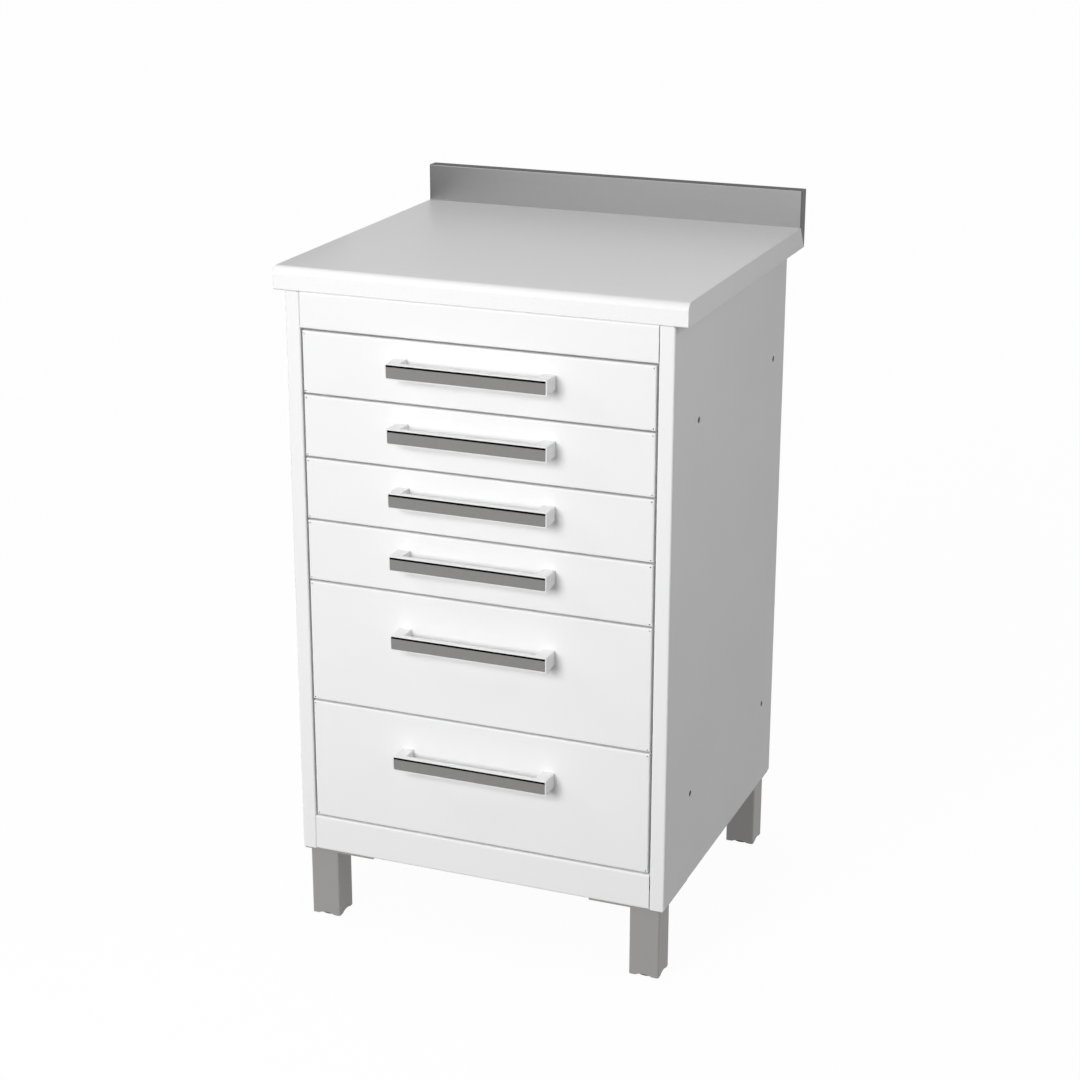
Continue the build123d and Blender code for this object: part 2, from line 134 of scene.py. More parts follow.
def changed_gloss(tree, noise, amount, roughness):
    """Roughness + amount * (noise - 0.5)."""
    return calculate(tree, "MULTIPLY_ADD", calculate(tree, "SUBTRACT", noise, 0.5), amount, roughness)


print("group helpers ready")

# %% [markdown]
# ## Powder coat
#
# Powder melts and flows into a film that is never quite flat: it has a skin of low waves, two or three
# millimetres apart, known as orange peel.  A photograph of paint could give it, but it would blur or repeat
# on a large panel.  Noise at that scale gives the height at any size, and a much larger noise moves the
# colour and the gloss a little, as it does between one part of a sheet and the next.


# %% Group: powder coat
def powder_coat_group():
    """Height = fine noise; colour = base darkened by broad noise; roughness = base shifted by broad noise."""
    tree, given = new_group(
        "powder_coat",
        {"Colour": (COLOUR, (0.8, 0.8, 0.8, 1)), "Wave": (FLOAT, 420.0), "Mottle": (FLOAT, 0.02),
         "Roughness": (FLOAT, 0.4), "Gloss change": (FLOAT, 0.05)},
    )
    patches_per_metre, patch_grey = 7.0, (0.25, 0.25, 0.24, 1)
    place = add_node(tree, "ShaderNodeTexCoord").outputs["Object"]
    peel = add_node(tree, "ShaderNodeTexNoise", {"Vector": place, "Scale": given["Wave"], "Detail": 2.0})
    broad = add_node(tree, "ShaderNodeTexNoise", {"Vector": place, "Scale": patches_per_metre, "Detail": 3.0})
    share = calculate(tree, "MULTIPLY", broad.outputs["Fac"], given["Mottle"])
    tint = mix_colour(tree, share, given["Colour"], patch_grey)
    gloss = changed_gloss(tree, broad.outputs["Fac"], given["Gloss change"], given["Roughness"])
    return put_out(tree, tint, gloss, peel.outputs["Fac"])


powder_coat = powder_coat_group()
print("group", powder_coat.name)

# %% [markdown]
# ## Brushed metal
#
# Extruded aluminium is drawn through a die and then brushed, so its marks are long threads along the
# profile.  A stretched reflection (anisotropy) would show only the sheen of them.  Noise stretched along X
# shows the threads too.  Zinc plate is much blotchier, so its noise is stretched far less.


# %% Group: brushed metal
def brushed_group():
    """Height = noise squeezed across the brushing direction; roughness = base shifted by that noise."""
    tree, given = new_group(
        "brushed_metal",
        {"Colour": (COLOUR, (0.5, 0.5, 0.5, 1)), "Stretch": (VECTOR, (4.0, 900.0, 900.0)),
         "Roughness": (FLOAT, 0.35), "Contrast": (FLOAT, 0.1)},
    )
    thread_grey = (0.2, 0.2, 0.2, 1)
    place = add_node(tree, "ShaderNodeTexCoord").outputs["Object"]
    thread = add_node(tree, "ShaderNodeVectorMath", {0: place, 1: given["Stretch"]}, operation="MULTIPLY")
    lines = add_node(tree, "ShaderNodeTexNoise", {"Vector": thread.outputs[0], "Scale": 1.0, "Detail": 4.0})
    share = calculate(tree, "MULTIPLY", lines.outputs["Fac"], given["Contrast"])
    tint = mix_colour(tree, share, given["Colour"], thread_grey)
    gloss = changed_gloss(tree, lines.outputs["Fac"], given["Contrast"], given["Roughness"])
    return put_out(tree, tint, gloss, lines.outputs["Fac"])


brushed_metal = brushed_group()
print("group", brushed_metal.name)

# %% [markdown]
# ## Moulded and pressed grain
#
# A moulded part carries the fine grain of its tool, and a pressed laminate has a very fine leathery texture
# with a few paler and darker fibres under it.  Plain noise looks like cloud, and plain cells look like
# scales.  Cells softened by noise give the grain, and only the highest peaks of a second noise become
# flecks.


# %% Group: moulded grain
def grain_group():
    """Height = cells of a fine grain softened by noise; colour = base with sparse flecks of another."""
    tree, given = new_group(
        "moulded_grain",
        {"Colour": (COLOUR, (0.5, 0.5, 0.5, 1)), "Fleck": (COLOUR, (0.4, 0.4, 0.4, 1)),
         "Grain": (FLOAT, 900.0), "Fleck share": (FLOAT, 0.1), "Roughness": (FLOAT, 0.45),
         "Gloss change": (FLOAT, 0.06)},
    )
    flecks_per_metre, patches_per_metre = 260.0, 11.0
    fleck_start, fleck_full = 0.5, 0.72
    place = add_node(tree, "ShaderNodeTexCoord").outputs["Object"]
    cells = add_node(
        tree, "ShaderNodeTexVoronoi", {"Vector": place, "Scale": given["Grain"]}, feature="SMOOTH_F1",
    )
    soft = add_node(tree, "ShaderNodeTexNoise", {"Vector": place, "Scale": given["Grain"], "Detail": 2.0})
    flecks = add_node(tree, "ShaderNodeTexNoise", {"Vector": place, "Scale": flecks_per_metre, "Detail": 3.0})
    broad = add_node(tree, "ShaderNodeTexNoise", {"Vector": place, "Scale": patches_per_metre, "Detail": 2.0})
    sparse = add_node(
        tree, "ShaderNodeMapRange",
        {"Value": flecks.outputs["Fac"], "From Min": fleck_start, "From Max": fleck_full,
         "To Max": given["Fleck share"]},
    )
    tint = mix_colour(tree, sparse.outputs["Result"], given["Colour"], given["Fleck"])
    gloss = changed_gloss(tree, broad.outputs["Fac"], given["Gloss change"], given["Roughness"])
    return put_out(tree, tint, gloss, calculate(tree, "ADD", cells.outputs["Distance"], soft.outputs["Fac"]))


moulded_grain = grain_group()
print("group", moulded_grain.name)

# %% [markdown]
# ## From groups to materials
#
# The group gives colour, roughness and height.  The shader itself stays in the material, with its constant
# values on its own sockets, because an exporter reads them only there.  The height could move real points,
# but a hundredth of a millimetre would need millions of them, so it is a bump of that real depth.


# %% Material maker
materials = {}


def add_finish(name, group, values, depth, **constant):
    """Joins a group to a Principled shader: colour, roughness, and its height as a bump of a depth in mm."""
    material = bpy.data.materials.new(name)
    material.use_nodes = True
    tree = material.node_tree
    shader = tree.nodes["Principled BSDF"]
    made = add_node(tree, "ShaderNodeGroup", node_tree=group)
    for key, value in values.items():
        made.inputs[key].default_value = value
    bump = add_node(
        tree, "ShaderNodeBump", {"Height": made.outputs["Height"], "Distance": depth * mm, "Strength": 1.0},
    )
    tree.links.new(made.outputs["Colour"], shader.inputs["Base Color"])
    tree.links.new(made.outputs["Roughness"], shader.inputs["Roughness"])
    tree.links.new(bump.outputs["Normal"], shader.inputs["Normal"])
    for key, value in constant.items():
        shader.inputs[key.replace("_", " ")].default_value = value
    materials[name] = material


def grey(level, warmth=0.0):
    """A near-neutral colour; warmth lifts red and lowers blue by that share."""
    return (level * (1 + warmth), level, level * (1 - warmth), 1)


print("material maker ready")

# %% [markdown]
# ## Paints
#
# The sheet metal is white outside and pale grey on the trays, and the legs carry a grey paint with metal
# flake.  All three are powder.  Wave says how many waves fit in a metre, and the last number is their depth
# in millimetres.  The grey of the legs gets its flake from a share of metal in the shader, which is cheaper
# than flakes and looks the same from a step away.

# %% Paints
add_finish(
    "white_paint", powder_coat,
    {"Colour": grey(0.86), "Wave": 420.0, "Mottle": 0.03, "Roughness": 0.42, "Gloss change": 0.08}, 0.02,
)
add_finish(
    "tray_paint", powder_coat,
    {"Colour": grey(0.74, 0.01), "Wave": 520.0, "Mottle": 0.05, "Roughness": 0.5, "Gloss change": 0.1}, 0.03,
)
add_finish(
    "leg_paint", powder_coat,
    {"Colour": grey(0.33, 0.02), "Wave": 620.0, "Mottle": 0.12, "Roughness": 0.46, "Gloss change": 0.12},
    0.03, Metallic=0.36,
)
print("paints", list(materials))

# %% [markdown]
# ## Metals
#
# The splashback is satin aluminium, and the screws and rails are bright zinc plate.  Both could be one grey
# with a gloss, but metal is told by its marks: Stretch sets how long and how fine they are, Contrast how much
# they change the gloss.

# %% Metals
add_finish(
    "splash_aluminium", brushed_metal,
    {"Colour": grey(0.505), "Stretch": (3.0, 900.0, 900.0), "Roughness": 0.42, "Contrast": 0.12}, 0.01,
    Metallic=0.9, Specular_IOR_Level=0.1,
)
add_finish(
    "zinc_steel", brushed_metal,
    {"Colour": grey(0.58, 0.01), "Stretch": (60.0, 240.0, 240.0), "Roughness": 0.36, "Contrast": 0.3}, 0.01,
    Metallic=1.0,
)
print("metals", list(materials)[3:])

# %% [markdown]
# ## Laminate and mouldings
#
# The worktop is a white laminate.  The handles are a white moulding with a grey strip in the front, and the
# caps of the splashback and the feet are dark ones.  The black strip in the slot of each handle is painted
# shadow, standing in for the shade deep in that slot.  Grain says how many cells fit in a metre: the finer
# the tool's grain, the higher the number.

# %% Laminate and mouldings
add_finish(
    "worktop_laminate", moulded_grain,
    {"Colour": grey(0.86), "Fleck": grey(0.78, 0.01), "Grain": 700.0, "Fleck share": 0.25, "Roughness": 0.4},
    0.02,
)
add_finish(
    "cap_plastic", moulded_grain,
    {"Colour": grey(0.12), "Fleck": grey(0.09), "Grain": 1500.0, "Roughness": 0.5}, 0.02,
)
add_finish(
    "handle_plastic", moulded_grain,
    {"Colour": grey(0.84), "Fleck": grey(0.8), "Grain": 1800.0, "Fleck share": 0.12, "Roughness": 0.36},
    0.012,
)
add_finish(
    "insert_plastic", moulded_grain,
    {"Colour": grey(0.22, 0.012), "Fleck": grey(0.18), "Grain": 1500.0, "Fleck share": 0.3,
     "Roughness": 0.48}, 0.02,
)
add_finish(
    "foot_plastic", moulded_grain,
    {"Colour": grey(0.1), "Fleck": grey(0.08), "Grain": 1400.0, "Fleck share": 0.3, "Roughness": 0.55}, 0.03,
)
# Painted shadow: a near black without gloss, for the strips that stand in for the shade in the handles'
# slots.
add_finish(
    "painted_slot_shadow", moulded_grain,
    {"Colour": grey(0.003), "Fleck": grey(0.006), "Grain": 1600.0, "Fleck share": 0.3, "Roughness": 0.6},
    0.02, Specular_IOR_Level=0.0,
)
print("laminate and mouldings", list(materials)[5:])

# %% [markdown]
# ## A dark edge along the splashback
#
# The splashback is an extrusion, and its colour is made dark along its top.  The dark band could be a piece
# of its own, but it is very thin, so it is a mask: above a level just under the top, the colour turns dark
# and the metal share falls to nothing.


# %% Dark top edge
def dark_above(material, level, colour):
    """Mask = 0 below the level, 1 from 0.2 mm above it; it mixes in the colour and takes the metal away."""
    tree = material.node_tree
    shader = tree.nodes["Principled BSDF"]
    place = add_node(tree, "ShaderNodeTexCoord").outputs["Object"]
    height = add_node(tree, "ShaderNodeSeparateXYZ", {0: place}).outputs["Z"]
    mask = add_node(
        tree, "ShaderNodeMapRange", {"Value": height, "From Min": level, "From Max": level + 0.2 * mm},
    ).outputs["Result"]
    metal = add_node(
        tree, "ShaderNodeMapRange",
        {"Value": mask, "To Min": shader.inputs["Metallic"].default_value, "To Max": 0.0},
    ).outputs["Result"]
    painted = shader.inputs["Base Color"].links[0].from_socket
    tree.links.new(mix_colour(tree, mask, painted, colour), shader.inputs["Base Color"])
    tree.links.new(metal, shader.inputs["Metallic"])


# The splashback's colour is made dark above this level, just under its top.
dark_top_thickness = 0.4 * mm
dark_top_start = splash_top - dark_top_thickness
dark_above(materials["splash_aluminium"], dark_top_start, grey(0.05))
print("dark edge above", round(dark_top_start, 4), "m")

# %% [markdown]
# ## Dressing the pieces
#
# Each piece of the finished model names its finish in its material slot, and a name may come with a number
# at its end.  The slots could be filled by hand, but a loop over the names also serves the next cabinet.
# Putting the procedural material of that name into the slot dresses the piece and leaves its mesh alone.

# %% Dress the carried-over nodes
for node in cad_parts.values():
    for slot in node.material_slots:
        slot.material = materials[slot.material.name.split(".")[0]]
print("slots dressed on", len(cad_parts), "nodes")

# %% [markdown]
# ## Surfaces from rings
#
# Everything new on this cabinet is a closed skin over a stack of rings: a screw, a threaded stem, a ball
# and a folded strip differ only in how their rings are worked out.  They could be cut from cylinders with
# booleans, which leaves ragged faces.  NumPy gives all the points at once from a formula, and the faces
# follow from the order of the points, so every skin is clean and closed.


# %% Skin over rings
def ring_stack(rings):
    """Skin over rings[row, column, xyz]; a fan of triangles to the middle of the ring closes each end."""
    rows, around = rings.shape[:2]
    column = np.arange(around)
    after = (column + 1) % around
    row = np.arange(rows - 1)[:, None] * around
    quads = np.stack([row + column, row + after, row + around + after, row + around + column], axis=-1)
    low = np.stack([after, column, np.full(around, rows * around)], axis=1)
    top = (rows - 1) * around
    high = np.stack([top + column, top + after, np.full(around, rows * around + 1)], axis=1)
    points = np.vstack([rings.reshape(-1, 3), rings[0].mean(axis=0), rings[-1].mean(axis=0)])
    return points, quads.reshape(-1, 4), np.vstack([low, high])


def circle(count, offset=0.0):
    """Angles all the way round, without the last one, which is the first again."""
    return np.linspace(0, 2 * math.pi, count, endpoint=False) + offset


def saw(turns):
    """A triangle wave from 1 to 0 and back over each whole turn, which makes the flanks of a thread."""
    return np.abs(2 * (turns % 1) - 1)


print("skin, circle and saw ready")

# %% [markdown]
# ## Many copies in one piece
#
# A rail has dozens of balls.  Each could be an object, but they move as one and are counted as one, so their
# points go into one mesh.  A copy is the same points moved, and its faces are the same numbers raised by the
# number of points before it.


# %% Copies and joins
def at_places(shape, places):
    """Copies of a shape at places, as one shape: each copy's face numbers go up by a whole shape."""
    points, quads, triangles = shape
    places = np.atleast_2d(places)
    step = (np.arange(len(places)) * len(points))[:, None, None]
    moved = (points[None] + places[:, None]).reshape(-1, 3)
    return moved, (quads[None] + step).reshape(-1, 4), (triangles[None] + step).reshape(-1, 3)


def join_shapes(shapes):
    """Several shapes as one."""
    starts = np.cumsum([0] + [len(shape[0]) for shape in shapes])
    points = np.vstack([shape[0] for shape in shapes])
    quads = np.vstack([shape[1] + start for shape, start in zip(shapes, starts)])
    return points, quads, np.vstack([shape[2] + start for shape, start in zip(shapes, starts)])


print("copies and joins ready")

# %% [markdown]
# ## From a skin to a piece
#
# A skin becomes a mesh with the finish in its slot.  The piece is then tied to the body that it moves with,
# and the old piece that it stands for is hidden.  Edges sharper than an angle stay crisp and the rest is
# shaded smooth, which costs no faces.


# %% Helpers for pieces
def new_mesh(name, points, faces, finish):
    """Makes a smooth mesh object from an array of points and a list of faces."""
    mesh = bpy.data.meshes.new(name)
    mesh.from_pydata(points.tolist(), [], faces)
    mesh.polygons.foreach_set("use_smooth", np.full(len(mesh.polygons), True))
    mesh.materials.append(finish)
    piece = bpy.data.objects.new(name, mesh)
    bpy.context.scene.collection.objects.link(piece)
    return piece


def new_piece(name, shape, finish, body, replaced=(), crease=40):
    """Makes a piece in place, keeps creases sharper than an angle, and ties it to its body and slot."""
    points, quads, triangles = shape
    piece = new_mesh(name, points, quads.tolist() + triangles.tolist(), finish)
    piece.data.set_sharp_from_angle(angle=math.radians(crease))
    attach(piece, body)
    if replaced:
        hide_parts(*replaced)


def box_of(node):
    """Lowest corner, highest corner and middle of a node, as arrays."""
    low, high = (np.array(corner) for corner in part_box(node))
    return low, high, (low + high) / 2


print("piece helpers ready")

# %% [markdown]
# ## Levelling feet
#
# A moulded pad with a fluted rim carries a hexagonal collar for a spanner and a threaded stem.  The three
# could be cylinders, cut and joined with booleans.  One skin is cleaner, and one formula serves all three:
# the radius of a ring depends on the height and on the angle.  Flutes are a cosine of the angle, a hexagon
# is its apothem divided by a cosine, and a thread is a triangle wave that climbs as it turns.

# %% Feet
pad_radius, flutes, flute_depth = 15.5, 24, 0.02
collar_apothem, collar_foot, collar_top = 7.79, 6.0, 11.0
stem_radius, stem_pitch, thread_depth = 5.0, 1.5, 0.6


def foot_rings(height):
    """Radius over height and angle, in mm: fluted pad, chamfered hexagon, then a thread up to the height."""
    angle = circle(72)
    hexagon = collar_apothem / np.cos(angle % (math.pi / 3) - math.pi / 6)
    flute = 1 - flute_depth * (0.5 + 0.5 * np.cos(flutes * angle))
    plain = np.ones(len(angle))
    pad = [(0.0, (pad_radius - 1.2) * flute), (0.9, pad_radius * flute), (4.6, pad_radius * flute),
           (5.6, (pad_radius - 0.6) * flute), (collar_foot, (pad_radius - 1.9) * plain)]
    collar = [(collar_foot, hexagon), (collar_top - 0.8, hexagon), (collar_top, np.minimum(hexagon, 8.1))]
    climb = np.arange(collar_top, height - 0.9, 0.25)
    thread = stem_radius - thread_depth * saw(climb[:, None] / stem_pitch - angle / (2 * math.pi))
    end = [(height - 0.6, 4.3 * plain), (height, 3.7 * plain)]
    level = np.concatenate([[z for z, _ in pad + collar], climb, [z for z, _ in end]])
    radius = np.vstack([[r for _, r in pad + collar], thread, [r for _, r in end]])
    rings = [radius * np.cos(angle), radius * np.sin(angle), np.broadcast_to(level[:, None], radius.shape)]
    return np.stack(rings, axis=-1) * mm


for corner in corner_names:
    low, high, middle = box_of(f"foot_{corner}")
    place = (middle[0], middle[1], low[2])
    foot = at_places(ring_stack(foot_rings((high[2] - low[2]) / mm)), place)
    new_piece(f"levelling_foot_{corner}", foot, materials["foot_plastic"], f"foot_{corner}",
              [f"foot_{corner}"])
print("feet", len(corner_names), "faces each", len(foot[1]) + len(foot[2]))

# %% [markdown]
# ## Screws
#
# The handle screws and the worktop screws are pan heads with a cross recess.  Cutting the recess with a
# boolean would leave slivers round its edge, so it is a formula too: a point of the head sinks where the
# smaller of its two distances from the axes is less than half a slot width.


# %% Screw surface
def screw_rings(shank, head, head_height, length):
    """A screw along Z, tip first: threaded shank below zero, pan head with a cross recess above it."""
    pitch, thread_share = 0.8, 0.14
    slot_half, slot_reach, slot_depth = 0.17 * head, 0.62 * head, 0.55 * head_height
    angle = circle(48)
    climb = np.arange(-length + 1.0, -0.3, 0.3)
    rise = np.linspace(0.0, 1.0, 18)[1:-1] * math.pi / 2
    dome_level = head_height * (0.35 + 0.65 * np.sin(rise) ** 0.8)
    level = np.concatenate([[-length, -length + 0.8], climb, [0, 0, 0.35 * head_height], dome_level])
    outline = [[0.4 * shank, 0.8 * shank], 0 * climb, [shank, 0.94 * head, head], head * np.cos(rise)]
    radius = np.repeat(np.concatenate(outline)[:, None], len(angle), axis=1)
    thread = saw(climb[:, None] / pitch - angle / (2 * math.pi))
    radius[2:2 + len(climb)] = shank * (1 - thread_share * thread)
    x, y = radius * np.cos(angle), radius * np.sin(angle)
    near, far = np.minimum(abs(x), abs(y)), np.maximum(abs(x), abs(y))
    sunk = np.clip((slot_half - near) / (0.06 * head), 0, 1)
    sunk = sunk * np.clip((slot_reach - far) / (0.12 * head), 0, 1)
    sunk[:-len(rise)] = 0
    return np.stack([x, y, level[:, None] - slot_depth * sunk], axis=-1) * mm


print("screw surface ready")

# %% [markdown]
# ## Screws in their places
#
# The worktop screws point up from the frame into the board, and the handle screws point forward through the
# drawer front.  They could be turned as objects, but a finished piece keeps its place in its mesh, so the
# points are turned instead.  Exchanging two axes turns a shape inside out, and so does changing one sign,
# so the upright screws take both.  A cycle of all three axes needs neither.

# %% Screws
solid_head = np.array([4.2, 3.64]) * mm
worktop_head_height = 2.6
low, high, middle = box_of("worktop_screws")
reach = (high - low)[:2] / 2 - solid_head
pointing_up = screw_rings(1.8, 3.6, worktop_head_height, 19)[..., [1, 0, 2]] * np.array([1, 1, -1])
seat = low[2] + worktop_head_height * mm
places = [(middle[0] + a * reach[0], middle[1] + b * reach[1], seat) for a in (-1, 1) for b in (-1, 1)]
new_piece("worktop_pan_screws", at_places(ring_stack(pointing_up), places), materials["zinc_steel"],
          "carcass", ["worktop_screws"])

handle_solid_head, handle_head_height = 3.8, 2.4
pointing_forward = screw_rings(1.7, 3.25, handle_head_height, 14)[..., [1, 2, 0]]
for number in drawer_numbers:
    low, high, middle = box_of(f"drawer_{number}_screws")
    reach = (high[0] - low[0]) / 2 - handle_solid_head * mm
    seat = high[1] - handle_head_height * mm
    places = [(middle[0] + a * reach, seat, middle[2]) for a in (-1, 1)]
    new_piece(f"drawer_{number}_pan_screws", at_places(ring_stack(pointing_forward), places),
              materials["zinc_steel"], f"drawer_{number}", [f"drawer_{number}_screws"])
print("screws", 4 + 2 * len(drawer_numbers))

# %% [markdown]
# ## Ball rails
#
# The travelling member of each rail is a strip of sheet folded into a channel.  Rows of balls run in its
# grooves, held apart by cages.  A flat strip with a Solidify modifier could make the channel, but its ends
# are easier to control as a stack of small rectangles along the folded path.  A cage is a bar whose section
# swells at every ball.


# %% Rail surfaces
def channel_rings(web, flange, half_height, sheet, bend, start, length):
    """Rectangles, sheet thickness by rail length, along a C-shaped path that turns through two bends."""
    arc = np.linspace(0, math.pi / 2, 7)
    bend_x, bend_z = web + bend, half_height - bend
    upper = np.stack([bend_x - bend * np.cos(arc), bend_z + bend * np.sin(arc)], axis=1)
    upper = np.vstack([upper, [[flange, half_height]]])
    inwards = np.vstack([np.stack([np.cos(arc), -np.sin(arc)], axis=1), [[0, -1]]])
    path = np.vstack([upper[::-1] * [1, -1], upper])
    inwards = np.vstack([inwards[::-1] * [1, -1], inwards])
    inner = path + inwards * sheet
    corners = [(path, start), (inner, start), (inner, start + length), (path, start + length)]
    edges = [np.stack([edge[:, 0], np.full(len(edge), y), edge[:, 1]], axis=1) for edge, y in corners]
    return np.stack(edges, axis=1)


def cage_rings(half_width, half_height, pitch, balls):
    """A flattened bar along Y whose half-height swells by half at every ball."""
    along = np.linspace(0, pitch * balls, 5 * balls + 1)
    angle = circle(10)
    swell = 1 + 0.5 * np.cos(math.pi * (along / pitch - 0.5)) ** 8
    x = half_width * np.sign(np.cos(angle)) * abs(np.cos(angle)) ** 0.6 * np.ones((len(along), 1))
    z = half_height * np.sin(angle) * swell[:, None]
    return np.stack([x, np.broadcast_to(along[:, None], x.shape), z], axis=-1)[:, ::-1]


def ball_rings(radius):
    """A small sphere from three rings of eight points; the fans close its poles."""
    tilt = np.array([-0.9, 0.0, 0.9])[:, None]
    angle = circle(8)
    across = radius * np.cos(tilt)
    up = np.broadcast_to(radius * np.sin(tilt), (3, 8))
    return np.stack([across * np.cos(angle), across * np.sin(angle), up], axis=-1)


print("rail surfaces ready")

# %% [markdown]
# ## Middle rails
#
# One channel stands at each side of a drawer, and the one on the right is the mirror image of the one on
# the left.  A Mirror modifier could make it, but both sides then have to share one middle line.  In the
# points it is a change of sign.  That turns a surface inside out, so the points of each ring also go round
# the other way.  Each channel has two races above and two below: the outer one against the cabinet's rail,
# the inner one against the drawer's.

# %% Middle rails
rail_play, rail_length, race_margin = 3.0, 420.0, 30.0
channel_reach, channel_half_height, channel_sheet, channel_bend = 11.0, 13.0, 1.0, 1.6
ball_pitch, ball_count, cage_half_width = 15.0, 24, 1.5
races = [
    {"across": 6.0, "up": 14.5, "ball": 1.42, "cage": 0.62},
    {"across": 8.2, "up": 11.15, "ball": 0.8, "cage": 0.36},
]


def rail_shapes(side, half, start):
    """The channel, cages and balls of one side, in mm from the middle of the drawer."""
    channel = channel_rings(
        -half + rail_play, -half + channel_reach, channel_half_height, channel_sheet, channel_bend, start,
        rail_length,
    )
    shapes = [ring_stack(channel if side < 0 else channel[:, ::-1] * [-1, 1, 1])]
    for race in races:
        cage = ring_stack(cage_rings(cage_half_width, race["cage"], ball_pitch, ball_count))
        ball = ring_stack(ball_rings(race["ball"]))
        for sign in (-1, 1):
            x, y, z = side * (half - race["across"]), start + race_margin, sign * race["up"]
            shapes.append(at_places(cage, (x, y, z)))
            shapes.append(at_places(ball, [(x, y + ball_pitch * (k + 0.5), z) for k in range(ball_count)]))
    return shapes


for number in drawer_numbers:
    low, high, middle = box_of(f"middle_rails_{number}")
    half = (high[0] - low[0]) / 2 / mm + rail_play
    start = low[1] / mm
    points, quads, triangles = join_shapes(rail_shapes(-1, half, start) + rail_shapes(1, half, start))
    whole = (points * mm + [middle[0], 0, middle[2]], quads, triangles)
    new_piece(f"middle_ball_rails_{number}", whole, materials["zinc_steel"], f"slide_{number}",
              [f"middle_rails_{number}"], crease=50)
print("rails", 2 * len(drawer_numbers), "faces each pair", len(quads) + len(triangles))

# %% [markdown]
# ## Black line above the insert
#
# A black strip of painted shadow fills the slot between the grey insert and the upper rim of the handle, and
# laps a little over the insert's top edge.  It stands in for the shade deep in the slot: the open slot alone
# could do, but light leaks into so narrow a gap and turns it grey.  The strip lies just behind the rim and
# has no gloss, so it reads as one thin black line of shade.

# %% Slot strips
pocket_rim, lap, strip_setback, strip_corner = 1.4 * mm, 0.6 * mm, 0.1 * mm, 0.15 * mm


def rounded_bar_rings(length, depth, height, corner):
    """Rounded rectangles in YZ along X; the first and the last ones are smaller by the corner radius."""
    angle = circle(24, math.pi / 24)
    inset = np.array([corner, 0.3 * corner, 0, 0, 0.3 * corner, corner])
    along = np.array([0, 0.3 * corner, corner, length - corner, length - 0.3 * corner, length])
    half_y = (depth / 2 - corner) * np.sign(np.cos(angle))
    half_z = (height / 2 - corner) * np.sign(np.sin(angle))
    radius = (corner - inset * 0.999)[:, None]
    y = half_y + radius * np.cos(angle)
    z = half_z + radius * np.sin(angle)
    return np.stack([np.broadcast_to(along[:, None], y.shape), y, z], axis=-1)


# Each strip is painted shadow, placed where the slot above the insert lies in shade.
for number in drawer_numbers:
    low, high, _ = box_of(f"drawer_{number}_insert")
    handle_low, handle_high, _ = box_of(f"drawer_{number}_handle")
    front, top = handle_low[1] + strip_setback, handle_high[2] - pocket_rim
    depth, height = high[1] - front, top - high[2] + lap
    bar = ring_stack(rounded_bar_rings(high[0] - low[0], depth, height, strip_corner))
    place = (low[0], high[1] - depth / 2, high[2] - lap + height / 2)
    new_piece(f"drawer_{number}_slot_shadow_strip", at_places(bar, place), materials["painted_slot_shadow"],
              f"drawer_{number}")
print("slot strips", len(drawer_numbers), "height", round(height / mm, 2), "mm")

# %% [markdown]
# ## Soft edges
#
# A moulded handle and a pressed board have no knife edges.  Smooth shading alone would smear the light over
# their flat faces, while a bevel catches it along the edge, as the real ones do.  The flat triangles of
# each such node are first merged into whole faces, because a bevel needs clean edges to follow.  The mesh
# itself stays as it is.


# %% Soften edges
def soften(node, width, segments=3):
    """Welds, merges flat faces and bevels the edges sharper than 30 degrees, all as modifiers."""
    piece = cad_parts[node]
    piece.modifiers.new("weld", "WELD").merge_threshold = 0.01 * mm
    flat = piece.modifiers.new("flat", "DECIMATE")
    flat.decimate_type = "DISSOLVE"
    flat.angle_limit = math.radians(0.5)
    bevel = piece.modifiers.new("bevel", "BEVEL")
    bevel.width = width
    bevel.segments = segments
    bevel.limit_method = "ANGLE"
    bevel.angle_limit = math.radians(30)
    bevel.harden_normals = True


for number in drawer_numbers:
    soften(f"drawer_{number}_handle", 0.45 * mm)
    soften(f"drawer_{number}_insert", 0.3 * mm)
soften("worktop", 0.6 * mm)
soften("splash_caps", 0.3 * mm, 2)
print("softened", 2 * len(drawer_numbers) + 2)

# %% [markdown]
# ## Camera
#
# The viewing position was solved from the straight edges of the photographed cabinet.  A long lens far away
# keeps the verticals nearly parallel, as a product photograph does.  Three turns could aim the camera, but
# their order is easy to get wrong, so its matrix is built from the direction in which it looks.


# %% Camera
def looking_matrix(place, backward, roll=0.0):
    """A matrix for an object at a place, its Z axis turned backward and its X axis level but for a roll."""
    backward = np.array(backward) / np.linalg.norm(backward)
    level = np.cross([0, 0, 1], backward)
    level /= np.linalg.norm(level)
    steep = np.cross(backward, level)
    matrix = np.eye(4)
    matrix[:3, 0] = math.cos(roll) * level + math.sin(roll) * steep
    matrix[:3, 1] = math.cos(roll) * steep - math.sin(roll) * level
    matrix[:3, 2] = backward
    matrix[:3, 3] = place
    return matrix.T.tolist()


eye = (1.0749, -2.71835, 1.48695)
sideways, down, roll = math.radians(21.691), math.radians(18.913), math.radians(0.08)
backward = [math.sin(sideways) * math.cos(down), -math.cos(sideways) * math.cos(down), math.sin(down)]
camera_data = bpy.data.cameras.new("camera")
camera_data.sensor_width = 36
camera_data.lens = 78.54
camera = bpy.data.objects.new("camera", camera_data)
camera.matrix_world = looking_matrix(eye, backward, roll)
bpy.context.scene.collection.objects.link(camera)
bpy.context.scene.camera = camera
print("camera", [round(v, 3) for v in camera.location])

# %% [markdown]
# ## Lamps
#
# A single lamp would give each face one flat tone, so there are three.  One broad lamp stands in front, a
# little to the left and not much higher than the worktop, so that the fronts are bright and the upper
# surface is not.  A small lamp at the upper left lets the light on the worktop fall off towards the right,
# and a weak one near the right side lets that side grow darker downwards.  No lamp shows in a reflection,
# because the photographed metal shows none.

